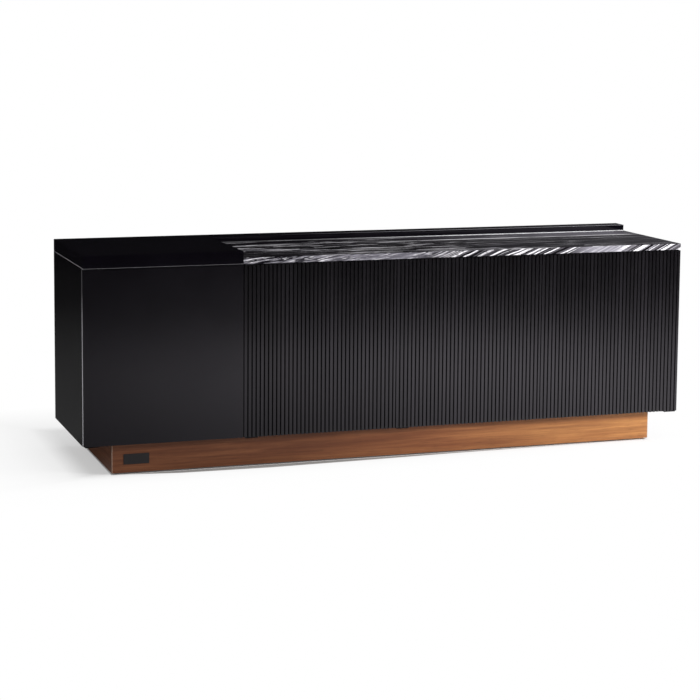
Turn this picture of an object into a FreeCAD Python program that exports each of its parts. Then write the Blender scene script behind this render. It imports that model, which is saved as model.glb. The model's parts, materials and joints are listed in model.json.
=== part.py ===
import FreeCAD, Part
import Sketcher
import os
import re

# A sideboard buffet: four bays behind one flat door and three slatted doors, an L-shaped lacquered top
# with a marble slab let into it, and a recessed plinth on nylon glides.
# Frame: +X runs along the length to the viewer's right, the front faces -Y and +Z is up.
# The origin is on the floor, under the middle of the body. Lengths are in millimetres.

SIZES = {
    # the whole
    "overall_length": 2000,
    "overall_depth": 480,
    "body_height": 545,
    # lacquered top and marble
    "block_thickness": 40,
    "ledge_depth": 60,
    "eased_edge": 1,
    "marble_thickness": 20,
    "marble_edge": 0.8,
    "marble_clearance": 0.5,
    # carcass
    "side_thickness": 18,
    "side_chamfer": 3,
    "panel_thickness": 18,
    "partition_thickness": 18,
    "back_thickness": 8,
    "dowel_diameter": 8,
    "dowel_length": 30,
    "dowel_in_face": 10,
    "dowel_margin": 60,
    # shelves
    "shelf_thickness": 18,
    "shelf_height": 250,
    "shelf_setback": 12,
    "shelf_clearance": 1,
    "pin_diameter": 5,
    "pin_depth": 8,
    "pin_reach": 10,
    "pin_margin": 45,
    "pin_pitch": 64,
    # doors
    "door_thickness": 22,
    "door_reveal": 3,
    "door_back_gap": 3,
    "slat_thickness": 7,
    "slat_width": 9.25,
    "slat_gap": 4,
    "back_chamfer": 10,
    # pivots: a steel leaf in each door edge carries a pin, which turns in a leaf fixed to the carcass
    "leaf_thickness": 2.5,
    "leaf_gap": 0.5,
    "leaf_margin": 4,
    "door_leaf_length": 56,
    "door_leaf_width": 18,
    "fixed_leaf_length": 40,
    "fixed_leaf_grip": 30,
    "leaf_front_cover": 2,
    "pivot_inset": 12,
    "pivot_setback": 7,
    "pivot_diameter": 5,
    "pivot_clearance": 0.05,
    "pivot_end_gap": 0.2,
    # push latches and bumpers
    "latch_inset": 40,
    "latch_width": 14,
    "latch_length": 80,
    "latch_setback": 3,
    "latch_bore_depth": 45,
    "plunger_diameter": 8,
    "plunger_length": 28,
    "plunger_nose": 1,
    "plunger_clearance": 0.08,
    "touch_gap": 0.3,
    "spring_radius": 2.8,
    "spring_wire": 0.8,
    "spring_pitch": 2.6,
    "strike_length": 36,
    "strike_height": 14,
    "strike_thickness": 1.5,
    "strike_screw_spacing": 24,
    "bumper_diameter": 8,
    "bumper_inset": 20,
    # fasteners
    "screw_diameter": 3.5,
    "screw_head_diameter": 7,
    "screw_head_height": 1.8,
    "leaf_screw_length": 14,
    "door_screw_length": 25,
    "strike_screw_length": 12,
    "latch_screw_length": 26,
    "top_screw_length": 38,
    "top_screw_margin": 70,
    "top_screw_forward": 60,
    "top_screw_rearward": 120,
    "back_screw_length": 30,
    "back_screw_offset": 30,
    # plinth
    "plinth_height": 90,
    "plinth_board": 18,
    "plinth_side_inset": 90,
    "plinth_front_inset": 30,
    "corner_block": 40,
    "corner_block_height": 70,
    "glide_height": 5,
    "glide_diameter": 30,
    "glide_nail_diameter": 4,
    "glide_nail_length": 14,
    # bare plate on the plinth
    "plate_length": 80,
    "plate_height": 32,
    "plate_thickness": 1.5,
    "plate_corner": 2,
    "plate_side_margin": 37,
    "plate_base_margin": 26,
}

doc = FreeCAD.newDocument("sideboard")
sheet = doc.addObject("Spreadsheet::Sheet", "sizes")
for row, (alias, number) in enumerate(SIZES.items(), start=1):
    sheet.set(f"A{row}", alias)
    sheet.set(f"B{row}", str(number))
    sheet.setAlias(f"B{row}", alias)
doc.recompute()

ALIASES = re.compile(r"\b(" + "|".join(SIZES) + r")\b")
subparts = []

# Headings: local +Z of a piece turned to point this way.
X_AXIS = FreeCAD.Vector(1, 0, 0)
Y_AXIS = FreeCAD.Vector(0, 1, 0)
UP = FreeCAD.Rotation()
DOWN = FreeCAD.Rotation(X_AXIS, 180)
FORWARD = FreeCAD.Rotation(X_AXIS, 90)
BACKWARD = FreeCAD.Rotation(X_AXIS, -90)
RIGHTWARD = FreeCAD.Rotation(Y_AXIS, 90)
HALF_TURN = FreeCAD.Rotation(FreeCAD.Vector(0, 0, 1), 180)

# Where a row of screws stands along the length that it holds.
FIXED_LEAF_SHARES = ("0.6", "0.9")
DOOR_LEAF_SHARES = ("0.5", "0.85")
LATCH_SHARES = ("1 / 3", "3 / 4")
BACK_SHARES = ("0.2", "0.5", "0.8")

# Two coordinates nearer than this are the same.
TOLERANCE = 0.01


# ---- helpers ----

def size(alias):
    """The sheet's value, for counts and edge treatments."""
    return float(sheet.get(alias))


def expression(text):
    return ALIASES.sub(r"sizes.\1", text)


def bind(item, **texts):
    for name, text in texts.items():
        item.setExpression(name, expression(text))
    return item


def place(item, x, y, z, heading=UP):
    item.Placement = FreeCAD.Placement(FreeCAD.Vector(), heading)
    for axis, text in (("x", x), ("y", y), ("z", z)):
        item.setExpression("Placement.Base." + axis, expression(text))
    return item


def box(name, corner, extent):
    item = doc.addObject("Part::Box", name)
    bind(item, Length=extent[0], Width=extent[1], Height=extent[2])
    return place(item, *corner)


def cylinder(name, start, diameter, length, heading=UP):
    item = doc.addObject("Part::Cylinder", name)
    bind(item, Radius=f"({diameter}) / 2", Height=length)
    return place(item, *start, heading)


def corner_wedge(name, corner, width, height, mirrored, heading=UP):
    """A triangular prism that takes a 45 degree chamfer off an upright corner.

    As made, its right angle stands on the corner and its legs run along +X and +Y, or -X and +Y if mirrored.
    """
    item = doc.addObject("Part::Wedge", name)
    x, y, z = corner
    tip = width if mirrored else "0"
    bind(item, Xmin="0", Ymin="0", Zmin="0", X2min=tip, Z2min="0")
    bind(item, Xmax=width, Ymax=width, Zmax=height, X2max=tip, Z2max=height)
    if mirrored:
        x = f"{x} + {width}" if heading is HALF_TURN else f"{x} - {width}"
    return place(item, x, y, z, heading)


def fuse(name, items):
    item = doc.addObject("Part::MultiFuse", name)
    item.Shapes = items
    return item


def group(name, items):
    item = doc.addObject("Part::Compound", name)
    item.Links = items
    return item


def cut(name, base, tools):
    """The base with the tools taken out of it: what is let in or driven in cuts its own seat."""
    item = doc.addObject("Part::Cut", name)
    item.Base = base
    item.Tool = tools[0] if len(tools) == 1 else group(name + "_tools", tools)
    return item


def screw(name, head, length, heading):
    """A countersunk screw, its head's flat face at the given point, driven along heading."""
    cone = doc.addObject("Part::Cone", name + "_head")
    bind(cone, Radius1="screw_head_diameter / 2", Radius2="screw_diameter / 2", Height="screw_head_height")
    shank = cylinder(
        name + "_shank", ("0", "0", "screw_head_height"), "screw_diameter", f"{length} - screw_head_height"
    )
    return place(fuse(name, [cone, shank]), *head, heading)


def origin_plane(body, role):
    return next(plane for plane in body.Origin.OriginFeatures if plane.Role == role)


def outline(body, role, corners, spans):
    """A closed sketch of level and upright lines. Corners give its plan, spans the lengths of its sides."""
    sketch = body.newObject("Sketcher::SketchObject", body.Name + "_outline")
    sketch.AttachmentSupport = [(origin_plane(body, role), "")]
    sketch.MapMode = "FlatFace"
    count = len(corners)
    for number, (start, end) in enumerate(zip(corners, corners[1:] + corners[:1])):
        line = Part.LineSegment(FreeCAD.Vector(*start, 0), FreeCAD.Vector(*end, 0))
        sketch.addGeometry(line, False)
        level = start[1] == end[1]
        sketch.addConstraint(Sketcher.Constraint("Horizontal" if level else "Vertical", number))
    for number in range(count):
        sketch.addConstraint(Sketcher.Constraint("Coincident", number, 2, (number + 1) % count, 1))
    sketch.addConstraint(Sketcher.Constraint("Coincident", 0, 1, -1, 1))
    for number, text in spans.items():
        start, end = corners[number], corners[(number + 1) % count]
        kind = "DistanceX" if start[1] == end[1] else "DistanceY"
        ends = (1, 2) if start[0] + start[1] < end[0] + end[1] else (2, 1)
        length = abs(start[0] - end[0]) + abs(start[1] - end[1])
        index = sketch.addConstraint(Sketcher.Constraint(kind, number, ends[0], number, ends[1], length))
        sketch.renameConstraint(index, f"side_{number}")
        sketch.setExpression(f"Constraints.side_{number}", expression(text))
    return sketch


def padded(name, corners, spans, height):
    body = doc.addObject("PartDesign::Body", name)
    pad = body.newObject("PartDesign::Pad", name + "_pad")
    pad.Profile = outline(body, "XY_Plane", corners, spans)
    pad.setExpression("Length", expression(height))
    doc.recompute()
    return body, pad


def revolved(name, corners, spans):
    body = doc.addObject("PartDesign::Body", name)
    sketch = outline(body, "XZ_Plane", corners, spans)
    turn = body.newObject("PartDesign::Revolution", name + "_turn")
    turn.Profile = sketch
    turn.ReferenceAxis = (sketch, ["V_Axis"])
    turn.Angle = 360
    doc.recompute()
    return body, turn


def ease(body, feature, kind, alias, wanted):
    """Round or chamfer the feature's edges for which wanted(edge) is true."""
    names = [f"Edge{n}" for n, edge in enumerate(feature.Shape.Edges, start=1) if wanted(edge)]
    edging = body.newObject("PartDesign::" + kind, f"{body.Name}_{kind.lower()}")
    edging.Base = (feature, names)
    edging.setExpression("Radius" if kind == "Fillet" else "Size", expression(alias))
    return edging


def subpart(item):
    """Mark an object as a finished sub-part: its Label is its node's name."""
    item.Label = item.Name
    subparts.append(item)
    return item


RECTANGLE = [(0, 0), (1, 0), (1, 1), (0, 1)]

# ---- shared levels and planes ----

LEFT = "(-overall_length / 2)"
RIGHT = "(overall_length / 2)"
FRONT = "(-overall_depth / 2)"
BACK = "(overall_depth / 2)"
BODY_BASE = "(glide_height + plinth_height)"
BODY_TOP = f"({BODY_BASE} + body_height)"
FLOOR_TOP = f"({BODY_BASE} + panel_thickness)"
ROOF_BASE = f"({BODY_TOP} - panel_thickness)"
DOOR_BACK = f"({FRONT} + door_thickness)"
CARCASS_FRONT = f"({DOOR_BACK} + door_back_gap)"
PANEL_BACK = f"({BACK} - back_thickness)"
PANEL_DEPTH = f"({PANEL_BACK} - {CARCASS_FRONT})"
PANEL_MIDDLE = f"(({PANEL_BACK} + {CARCASS_FRONT}) / 2)"
MODULE = "(overall_length / 4)"
INNER_LEFT = f"({LEFT} + side_thickness)"
INNER_RIGHT = f"({RIGHT} - side_thickness)"
DOOR_BASE = f"({BODY_BASE} + leaf_thickness + leaf_gap)"
DOOR_TOP = f"({BODY_TOP} - leaf_thickness - leaf_gap)"
DOOR_HEIGHT = f"({DOOR_TOP} - {DOOR_BASE})"
PANEL_ROWS = {
    "lower": f"{BODY_BASE} + panel_thickness / 2",
    "upper": f"{BODY_TOP} - panel_thickness / 2",
}
DEPTH_ROWS = {
    "front": f"{CARCASS_FRONT} + dowel_margin",
    "middle": PANEL_MIDDLE,
    "rear": f"{PANEL_BACK} - dowel_margin",
}
BAYS = (1, 2, 3, 4)
PARTITIONS = (1, 2, 3)


def seam(number):
    """The plane between two modules: seam 0 is the left end and seam 4 the right end."""
    return f"({LEFT} + {number} * {MODULE})"


def bay_walls(bay):
    """The x of a bay's left and right inner faces."""
    left = INNER_LEFT if bay == 1 else f"({seam(bay - 1)} + partition_thickness / 2)"
    right = INNER_RIGHT if bay == 4 else f"({seam(bay)} - partition_thickness / 2)"
    return left, right


def door_edges(door):
    """The x of a door's left and right edges. The end doors reach the body's ends."""
    left = LEFT if door == 1 else f"({seam(door - 1)} + door_reveal / 2)"
    right = RIGHT if door == 4 else f"({seam(door)} - door_reveal / 2)"
    return left, right


# Door 4 is hung on its right edge and the others on their left edges.
HUNG_RIGHT = {4}


def from_hinge_edge(door, near, far):
    """A stretch along X measured from the door's hinge edge: its low x and its length."""
    left, right = door_edges(door)
    low = f"({right} - ({far}))" if door in HUNG_RIGHT else f"({left} + {near})"
    return low, f"({far}) - ({near})"


def hinge_point(door, distance):
    return from_hinge_edge(door, distance, distance)[0]


def free_point(door, distance):
    """The x of a point that far inside the door's free edge."""
    left, right = door_edges(door)
    return f"({left} + {distance})" if door in HUNG_RIGHT else f"({right} - {distance})"


# ---- dowels, shelf pins and their spare holes ----

dowels = []
for panel, level in (("floor", BODY_BASE), ("roof", ROOF_BASE)):
    middle_height = f"{level} + panel_thickness / 2"
    for place_name, y in DEPTH_ROWS.items():
        left_start = f"{INNER_LEFT} - dowel_in_face"
        right_start = f"{INNER_RIGHT} - dowel_length + dowel_in_face"
        for end, x in (("left", left_start), ("right", right_start)):
            name = f"dowel_{panel}_{end}_{place_name}"
            dowels.append(cylinder(name, (x, y, middle_height), "dowel_diameter", "dowel_length", RIGHTWARD))
        foot = f"{FLOOR_TOP} - dowel_in_face"
        head = f"{ROOF_BASE} + dowel_in_face - dowel_length"
        for partition in PARTITIONS:
            name = f"dowel_{panel}_partition_{partition}_{place_name}"
            start = (seam(partition), y, foot if panel == "floor" else head)
            dowels.append(cylinder(name, start, "dowel_diameter", "dowel_length"))

SHELF_BASE = f"({FLOOR_TOP} + shelf_height)"
PIN_LEVEL = f"({SHELF_BASE} - pin_diameter / 2)"
PIN_ROWS = {"front": f"{CARCASS_FRONT} + pin_margin", "rear": f"{PANEL_BACK} - pin_margin"}

shelf_pins = []
spare_holes = []
for bay in BAYS:
    left_wall, right_wall = bay_walls(bay)
    starts = {"left": f"{left_wall} - pin_depth", "right": f"{right_wall} - pin_reach"}
    holes = {"left": f"{left_wall} - pin_depth", "right": right_wall}
    for end in ("left", "right"):
        for place_name, y in PIN_ROWS.items():
            name = f"pin_{bay}_{end}_{place_name}"
            start = (starts[end], y, PIN_LEVEL)
            shelf_pins.append(cylinder(name, start, "pin_diameter", "pin_depth + pin_reach", RIGHTWARD))
            for step in (-1, 1):
                level = f"{PIN_LEVEL} + {step} * pin_pitch"
                hole = f"{name}_spare_{'low' if step < 0 else 'high'}"
                start = (holes[end], y, level)
                spare_holes.append(cylinder(hole, start, "pin_diameter", "pin_depth", RIGHTWARD))

# ---- pivots ----

FIXED_LEAF_BACK = f"({CARCASS_FRONT} + fixed_leaf_grip)"
FIXED_LEAF_FRONT = f"({FRONT} + leaf_front_cover)"
PIVOT_Y = f"({FRONT} + pivot_setback)"
PIN_LENGTH = "leaf_gap + leaf_thickness - pivot_end_gap"
FIXED_SCREW_Y = f"({CARCASS_FRONT} + fixed_leaf_grip / 2)"
DOOR_SCREW_Y = f"({FRONT} + (slat_thickness + door_thickness) / 2)"

# For each end of a door: the fixed leaf's underside, its screw heads' face and their heading,
# the door leaf's underside, its screw heads' face and their heading, and the pin's foot.
PIVOT_ENDS = {
    "lower": {
        "fixed_base": BODY_BASE,
        "fixed_face": BODY_BASE,
        "fixed_heading": UP,
        "door_base": DOOR_BASE,
        "door_face": DOOR_BASE,
        "door_heading": UP,
        "pin_foot": f"{DOOR_BASE} - ({PIN_LENGTH})",
    },
    "upper": {
        "fixed_base": f"{BODY_TOP} - leaf_thickness",
        "fixed_face": BODY_TOP,
        "fixed_heading": DOWN,
        "door_base": f"{DOOR_TOP} - leaf_thickness",
        "door_face": DOOR_TOP,
        "door_heading": DOWN,
        "pin_foot": DOOR_TOP,
    },
}

# The back corner at a door's hinge edge is chamfered, leaf and all, so that it clears the carcass.
back_corners = {}
for door in BAYS:
    left, right = door_edges(door)
    corner = (right if door in HUNG_RIGHT else left, DOOR_BACK, DOOR_BASE)
    name = f"door_back_corner_{door}"
    back_corners[door] = corner_wedge(
        name, corner, "back_chamfer", DOOR_HEIGHT, door not in HUNG_RIGHT, HALF_TURN
    )

fixed_leaves = []
hardware_screws = []
door_leaves = {door: [] for door in BAYS}
door_screws = {door: [] for door in BAYS}
for door in BAYS:
    pivot_x = hinge_point(door, "pivot_inset")
    for end, at in PIVOT_ENDS.items():
        # the leaf let into the carcass, with a bore for the pin
        x, length = from_hinge_edge(door, "leaf_margin", "leaf_margin + fixed_leaf_length")
        width = f"{FIXED_LEAF_BACK} - {FIXED_LEAF_FRONT}"
        corner = (x, FIXED_LEAF_FRONT, at["fixed_base"])
        plate = box(f"fixed_plate_{door}_{end}", corner, (length, width, "leaf_thickness"))
        bore = cylinder(
            f"fixed_bore_{door}_{end}",
            (pivot_x, PIVOT_Y, at["fixed_base"]),
            "pivot_diameter + 2 * pivot_clearance",
            "leaf_thickness",
        )
        screws = []
        for number, share in enumerate(FIXED_LEAF_SHARES, start=1):
            x = hinge_point(door, f"(leaf_margin + {share} * fixed_leaf_length)")
            head = (x, FIXED_SCREW_Y, at["fixed_face"])
            name = f"fixed_screw_{door}_{end}_{number}"
            screws.append(screw(name, head, "leaf_screw_length", at["fixed_heading"]))
        hardware_screws += screws
        fixed_leaves.append(cut(f"fixed_leaf_{door}_{end}", plate, [bore] + screws))

        # the leaf let into the door's edge, with its pin
        x, length = from_hinge_edge(door, "leaf_margin", "leaf_margin + door_leaf_length")
        corner = (x, FIXED_LEAF_FRONT, at["door_base"])
        plate = box(f"door_plate_{door}_{end}", corner, (length, "door_leaf_width", "leaf_thickness"))
        foot = (pivot_x, PIVOT_Y, at["pin_foot"])
        pin = cylinder(f"door_pin_{door}_{end}", foot, "pivot_diameter", PIN_LENGTH)
        screws = []
        for number, share in enumerate(DOOR_LEAF_SHARES, start=1):
            x = hinge_point(door, f"(leaf_margin + {share} * door_leaf_length)")
            head = (x, DOOR_SCREW_Y, at["door_face"])
            name = f"door_screw_{door}_{end}_{number}"
            screws.append(screw(name, head, "door_screw_length", at["door_heading"]))
        door_screws[door] += screws
        leaf = fuse(f"door_leaf_{door}_{end}_blank", [plate, pin])
        door_leaves[door].append(cut(f"door_leaf_{door}_{end}", leaf, screws + [back_corners[door]]))

# ---- push latches ----

LATCH_FRONT = f"({CARCASS_FRONT} + latch_setback)"
LATCH_BASE = f"({ROOF_BASE} - latch_width)"
LATCH_AXIS = f"({ROOF_BASE} - latch_width / 2)"
STRIKE_BACK = f"({DOOR_BACK} + strike_thickness)"
PLUNGER_TIP = f"({STRIKE_BACK} + touch_gap)"
PLUNGER_END = f"({PLUNGER_TIP} + plunger_length)"
BORE_END = f"({LATCH_FRONT} + latch_bore_depth)"


def round_the_nose(edge):
    """The rim of a plunger's front end."""
    nose = size("plunger_nose")
    return edge.BoundBox.ZMax < nose / 2 and edge.BoundBox.XLength > nose


strikes = {}
for door in BAYS:
    latch_x = free_point(door, "latch_inset")

    spans = {0: "latch_width", 1: "latch_length"}
    body, pad = padded(f"latch_block_{door}", RECTANGLE, spans, "latch_width")
    place(body, f"{latch_x} - latch_width / 2", LATCH_FRONT, LATCH_BASE)
    bore = cylinder(
        f"latch_bore_{door}",
        (latch_x, LATCH_FRONT, LATCH_AXIS),
        "plunger_diameter + 2 * plunger_clearance",
        "latch_bore_depth",
        BACKWARD,
    )
    screws = []
    for number, share in enumerate(LATCH_SHARES, start=1):
        y = f"({BORE_END} + {share} * (latch_length - latch_bore_depth))"
        head = (latch_x, y, LATCH_BASE)
        screws.append(screw(f"latch_screw_{door}_{number}", head, "latch_screw_length", UP))
    hardware_screws += screws
    subpart(cut(f"latch_housing_{door}", body, [bore] + screws))

    spans = {0: "plunger_diameter / 2", 1: "plunger_length"}
    plunger, turn = revolved(f"latch_plunger_{door}", RECTANGLE, spans)
    ease(plunger, turn, "Fillet", "plunger_nose", round_the_nose)
    subpart(place(plunger, latch_x, PLUNGER_TIP, LATCH_AXIS, BACKWARD))

    coil = doc.addObject("Part::Helix", f"spring_line_{door}")
    bind(
        coil,
        Radius="spring_radius",
        Pitch="spring_pitch",
        Height=f"{BORE_END} - {PLUNGER_END} - spring_wire - touch_gap",
    )
    wire = doc.addObject("Part::Circle", f"spring_wire_{door}")
    bind(wire, Radius="spring_wire / 2")
    place(wire, "spring_radius", "0", "0", FORWARD)
    spring = doc.addObject("Part::Sweep", f"latch_spring_{door}")
    spring.Sections = [wire]
    spring.Spine = coil
    spring.Solid = True
    spring.Frenet = True
    start = f"{PLUNGER_END} + (spring_wire + touch_gap) / 2"
    subpart(place(spring, latch_x, start, LATCH_AXIS, BACKWARD))

    plate = box(
        f"strike_blank_{door}",
        (f"{latch_x} - strike_length / 2", DOOR_BACK, f"{LATCH_AXIS} - strike_height / 2"),
        ("strike_length", "strike_thickness", "strike_height"),
    )
    screws = []
    for end, sign in (("left", "-"), ("right", "+")):
        head = (f"{latch_x} {sign} strike_screw_spacing / 2", STRIKE_BACK, LATCH_AXIS)
        screws.append(screw(f"strike_screw_{door}_{end}", head, "strike_screw_length", FORWARD))
    door_screws[door] += screws
    strikes[door] = cut(f"door_{door}_strike_plate", plate, screws)

# ---- doors ----

PITCH = "(slat_width + slat_gap)"
BOARD_FRONT = f"({FRONT} + slat_thickness)"


def door_board(name, door, front, thickness):
    left, right = door_edges(door)
    board = box(name + "_board", (left, front, DOOR_BASE), (f"{right} - {left}", thickness, DOOR_HEIGHT))
    return cut(name, board, [back_corners[door]] + door_leaves[door] + door_screws[door])


def slats(door):
    """Upright slats from the door's left edge on. The last one is as wide as what is left."""
    left, right = door_edges(door)
    pitch = size("slat_width") + size("slat_gap")
    reach = size("overall_length") / 4 - size("door_reveal") * (0.5 if door == 4 else 1)
    whole = int(reach // pitch)
    items = []
    for number in range(whole + 1):
        width = "slat_width" if number < whole else f"min(slat_width; {right} - {left} - {whole} * {PITCH})"
        corner = (f"{left} + {number} * {PITCH}", FRONT, DOOR_BASE)
        items.append(box(f"door_{door}_slat_{number + 1}", corner, (width, "slat_thickness", DOOR_HEIGHT)))
    tools = door_leaves[door] + door_screws[door]
    return cut(f"door_{door}_slats", group(f"door_{door}_slat_set", items), tools)


for door in BAYS:
    if door == 1:
        subpart(door_board("door_1_panel", door, FRONT, "door_thickness"))
    else:
        subpart(door_board(f"door_{door}_backing", door, BOARD_FRONT, "door_thickness - slat_thickness"))
        subpart(slats(door))
    subpart(group(f"door_{door}_pivot_leaves", door_leaves[door]))
    subpart(strikes[door])
    subpart(group(f"door_{door}_screws", door_screws[door]))

# ---- bumpers on the carcass's front edge, at each door's free edge ----

bumpers = []
for door in BAYS:
    for end, z in PANEL_ROWS.items():
        start = (free_point(door, "bumper_inset"), CARCASS_FRONT, z)
        name = f"bumper_{door}_{end}"
        bumpers.append(cylinder(name, start, "bumper_diameter", "door_back_gap - touch_gap", FORWARD))
subpart(group("door_bumpers", bumpers))

# ---- lacquered top and marble ----

BLOCK_LENGTH = f"({MODULE} - door_reveal / 2)"
L_SHAPE = [(0, 0), (1, 0), (1, 2), (3, 2), (3, 3), (0, 3)]

top, pad = padded(
    "lacquered_top_blank",
    L_SHAPE,
    {0: BLOCK_LENGTH, 3: "ledge_depth", 4: "overall_length", 5: "overall_depth"},
    "block_thickness",
)


def eased_on_top(edge):
    """Every edge but the upright inner corner and the hidden lower edges beside the marble."""
    block_end = size("overall_length") / 4 - size("door_reveal") / 2
    ledge_front = size("overall_depth") - size("ledge_depth")
    box_of_edge = edge.BoundBox
    middle = box_of_edge.Center
    on_block_end = abs(middle.x - block_end) < TOLERANCE and box_of_edge.YMax <= ledge_front + TOLERANCE
    on_ledge_front = abs(middle.y - ledge_front) < TOLERANCE and box_of_edge.XMin >= block_end - TOLERANCE
    on_top = box_of_edge.ZMin > size("block_thickness") - TOLERANCE
    front_corner = box_of_edge.YMax < TOLERANCE
    right_corner = box_of_edge.XMin > size("overall_length") - TOLERANCE
    return on_top or front_corner or right_corner or not (on_block_end or on_ledge_front)


ease(top, pad, "Fillet", "eased_edge", eased_on_top)
place(top, LEFT, FRONT, BODY_TOP)

top_screws = []
SCREW_SPOTS = {
    "block_left_front": (f"{LEFT} + top_screw_margin", f"{PANEL_MIDDLE} - top_screw_forward"),
    "block_left_rear": (f"{LEFT} + top_screw_margin", f"{PANEL_MIDDLE} + top_screw_rearward"),
    "block_right_front": (f"{seam(1)} - top_screw_margin", f"{PANEL_MIDDLE} - top_screw_forward"),
    "block_right_rear": (f"{seam(1)} - top_screw_margin", f"{PANEL_MIDDLE} + top_screw_rearward"),
    "ledge_2": (f"{seam(1)} + {MODULE} / 2", f"{BACK} - ledge_depth / 2"),
    "ledge_3": (f"{seam(2)} + {MODULE} / 2", f"{BACK} - ledge_depth / 2"),
    "ledge_4": (f"{seam(3)} + {MODULE} / 2", f"{BACK} - ledge_depth / 2"),
}
for name, (x, y) in SCREW_SPOTS.items():
    top_screws.append(screw("top_screw_" + name, (x, y, ROOF_BASE), "top_screw_length", UP))
subpart(group("top_fixing_screws", top_screws))
subpart(cut("lacquered_top", top, top_screws))

slab, pad = padded(
    "marble_slab",
    RECTANGLE,
    {
        0: f"overall_length - {BLOCK_LENGTH} - marble_clearance",
        1: "overall_depth - ledge_depth - marble_clearance",
    },
    "marble_thickness",
)
ease(slab, pad, "Chamfer", "marble_edge", lambda edge: edge.BoundBox.ZMin > size("marble_thickness") / 2)
subpart(place(slab, f"{LEFT} + {BLOCK_LENGTH} + marble_clearance", FRONT, BODY_TOP))

# ---- carcass ----

back_screws = []
for partition in PARTITIONS:
    for row, share in enumerate(BACK_SHARES, start=1):
        head = (seam(partition), BACK, f"{BODY_BASE} + {share} * body_height")
        name = f"back_screw_{partition}_{row}"
        back_screws.append(screw(name, head, "back_screw_length", FORWARD))
for bay in BAYS:
    for row, z in PANEL_ROWS.items():
        head = (f"{seam(bay - 1)} + {MODULE} / 2 - back_screw_offset", BACK, z)
        back_screws.append(screw(f"back_screw_bay_{bay}_{row}", head, "back_screw_length", FORWARD))

# Each side: the x of its board and the x of its outer face.
SIDES = {"left": (LEFT, LEFT), "right": (INNER_RIGHT, RIGHT)}
for side, (x, outer) in SIDES.items():
    extent = ("side_thickness", f"{BACK} - {CARCASS_FRONT}", "body_height")
    blank = box(f"side_blank_{side}", (x, CARCASS_FRONT, BODY_BASE), extent)
    corner = (outer, CARCASS_FRONT, BODY_BASE)
    chamfer = corner_wedge(f"side_corner_{side}", corner, "side_chamfer", "body_height", side == "right")
    tools = [item for item in dowels if f"_{side}_" in item.Name]
    tools += [chamfer] + shelf_pins + spare_holes + fixed_leaves
    subpart(cut(f"carcass_side_{side}", blank, tools))

inner_length = f"{INNER_RIGHT} - {INNER_LEFT}"
extent = (inner_length, PANEL_DEPTH, "panel_thickness")
blank = box("floor_blank", (INNER_LEFT, CARCASS_FRONT, BODY_BASE), extent)
floor_tools = dowels + fixed_leaves + hardware_screws + back_screws
subpart(cut("carcass_bottom", blank, floor_tools))
blank = box("roof_blank", (INNER_LEFT, CARCASS_FRONT, ROOF_BASE), extent)
subpart(cut("carcass_top", blank, floor_tools + top_screws))

for partition in PARTITIONS:
    x = f"{seam(partition)} - partition_thickness / 2"
    height = f"{ROOF_BASE} - {FLOOR_TOP}"
    extent = ("partition_thickness", PANEL_DEPTH, height)
    blank = box(f"partition_blank_{partition}", (x, CARCASS_FRONT, FLOOR_TOP), extent)
    tools = dowels + shelf_pins + spare_holes + back_screws
    subpart(cut(f"partition_{partition}", blank, tools))

extent = (inner_length, "back_thickness", "body_height")
blank = box("back_blank", (INNER_LEFT, PANEL_BACK, BODY_BASE), extent)
subpart(cut("back_panel", blank, back_screws))

for bay in BAYS:
    left_wall, right_wall = bay_walls(bay)
    corner = (f"{left_wall} + shelf_clearance", f"{CARCASS_FRONT} + shelf_setback", SHELF_BASE)
    length = f"{right_wall} - {left_wall} - 2 * shelf_clearance"
    extent = (length, f"{PANEL_DEPTH} - shelf_setback - shelf_clearance", "shelf_thickness")
    subpart(box(f"shelf_{bay}", corner, extent))

subpart(group("carcass_dowels", dowels))
subpart(group("shelf_pins", shelf_pins))
subpart(group("fixed_pivot_leaves", fixed_leaves))
subpart(group("hardware_screws", hardware_screws))
subpart(group("back_panel_screws", back_screws))

# ---- plinth ----

PLINTH_LEFT = f"({LEFT} + plinth_side_inset)"
PLINTH_RIGHT = f"({RIGHT} - plinth_side_inset)"
PLINTH_FRONT = f"({FRONT} + plinth_front_inset)"
PLINTH_BACK = f"({BACK} - plinth_front_inset)"
PLINTH_LENGTH = f"({PLINTH_RIGHT} - {PLINTH_LEFT})"
INNER_FRONT = f"({PLINTH_FRONT} + plinth_board)"
INNER_BACK = f"({PLINTH_BACK} - plinth_board)"
PLINTH_GAP = f"({INNER_BACK} - {INNER_FRONT})"

long_board = (PLINTH_LENGTH, "plinth_board", "plinth_height")
cross_board = ("plinth_board", PLINTH_GAP, "plinth_height")
subpart(box("plinth_front", (PLINTH_LEFT, PLINTH_FRONT, "glide_height"), long_board))
subpart(box("plinth_back", (PLINTH_LEFT, INNER_BACK, "glide_height"), long_board))
subpart(box("plinth_left", (PLINTH_LEFT, INNER_FRONT, "glide_height"), cross_board))
subpart(box("plinth_right", (f"{PLINTH_RIGHT} - plinth_board", INNER_FRONT, "glide_height"), cross_board))

glides = []
glide_spots = {}
rails = []
for partition in PARTITIONS:
    x = f"{PLINTH_LEFT} + {partition} * {PLINTH_LENGTH} / 4"
    corner = (f"{x} - plinth_board / 2", INNER_FRONT, "glide_height")
    rails.append(box(f"rail_{partition}", corner, cross_board))
glide_spots["middle_front"] = ("0", f"{INNER_FRONT} + corner_block / 2")
glide_spots["middle_rear"] = ("0", f"{INNER_BACK} - corner_block / 2")

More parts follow.
